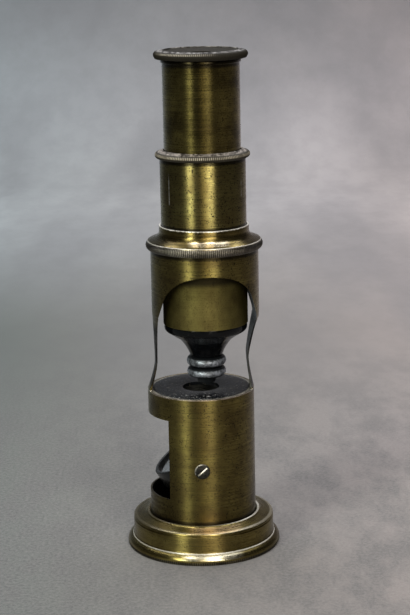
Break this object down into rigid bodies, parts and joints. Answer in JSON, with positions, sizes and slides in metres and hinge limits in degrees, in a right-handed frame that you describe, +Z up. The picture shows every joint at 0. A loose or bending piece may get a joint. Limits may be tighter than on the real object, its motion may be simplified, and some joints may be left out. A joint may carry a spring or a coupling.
{
  "type": "drum microscope",
  "caption": "Small brass drum microscope with a tilting mirror, a blackened stage, a push-tube focus and a draw-tube eyepiece.",
  "frame": {"origin": "centre of the foot's underside, on the axis of the drum", "axes": "+Z up along the drum; -X is the side that the mirror window faces; the mirror's pivot lies along Y"},
  "size_m": [0.0522, 0.0522, 0.1681],
  "materials": {
    "foot_brass": "aged lacquered brass, turned, darker in the grooves",
    "tube_brass": "aged lacquered brass with fine lines round the tube",
    "collar_brass": "aged lacquered brass with a darkened cove and reeds",
    "focus_brass": "duller lacquered brass with soft streaks and specks",
    "draw_brass": "aged lacquered brass with fine lines round the tube",
    "ring_worn": "knurled brass worn to a grey pink",
    "cap_worn": "knurled brass with worn black lacquer",
    "spring_brass": "plain brass, dulled",
    "stage_black": "worn black lacquer over brass",
    "nose_black": "glossy black lacquer over brass",
    "cell_black": "black lacquer with a rim worn grey",
    "cell_worn": "blackened brass worn grey on its edges",
    "stop_black": "dead black",
    "screw_dark": "dark steel with a bright edge",
    "lead_weight": "dull cast grey",
    "mirror_silver": "silvered glass, slightly hollow",
    "lens_glass": "clear"
  },
  "bodies": {
    "stand": {"foot": "foot_brass", "foot_ballast": "lead_weight", "drum_frame": "tube_brass", "stage_disc": "stage_black", "collar": "collar_brass", "guide_sleeve": "spring_brass", "front_pivot_screw": "screw_dark", "rear_pivot_screw": "screw_dark"},
    "mirror": {"mirror_cell": "cell_black", "mirror_glass": "mirror_silver"},
    "focusing_body": {"focus_tube": "focus_brass", "tube_ring": "ring_worn", "draw_sleeve": "spring_brass", "glare_stop": "stop_black", "nose_cone": "nose_black"},
    "upper_objective": {"upper_lens_cell": "cell_worn", "upper_lens": "lens_glass"},
    "lower_objective": {"lower_lens_cell": "cell_worn", "lower_lens": "lens_glass"},
    "draw_body": {"draw_tube": "draw_brass", "field_stop": "stop_black", "field_lens_cell": "spring_brass", "field_lens": "lens_glass"},
    "eyepiece": {"eyepiece_cap": "cap_worn", "eye_lens": "lens_glass", "eye_lens_ring": "spring_brass"}
  },
  "joints": [
    {"name": "focus_slide", "type": "slide", "parent": "stand", "child": "focusing_body", "axis": [0, 0, 1], "range_m": [-0.0019, 0.025]},
    {"name": "draw_slide", "type": "slide", "parent": "focusing_body", "child": "draw_body", "axis": [0, 0, 1], "range_m": [-0.028, 0.01]},
    {"name": "mirror_tilt", "type": "hinge", "parent": "stand", "child": "mirror", "pos_m": [0, 0, 0.0304], "axis": [0, 1, 0], "continuous": true},
    {"name": "eyepiece_turn", "type": "hinge", "parent": "draw_body", "child": "eyepiece", "pos_m": [0.00205, 0, 0.1654], "axis": [0, 0, 1], "range_deg": [0, 2880]},
    {"name": "upper_objective_turn", "type": "hinge", "parent": "focusing_body", "child": "upper_objective", "pos_m": [0.00205, 0, 0.0661], "axis": [0, 0, -1], "range_deg": [0, 2880]},
    {"name": "lower_objective_turn", "type": "hinge", "parent": "upper_objective", "child": "lower_objective", "pos_m": [0.00205, 0, 0.0624], "axis": [0, 0, -1], "range_deg": [0, 1440]}
  ]
}
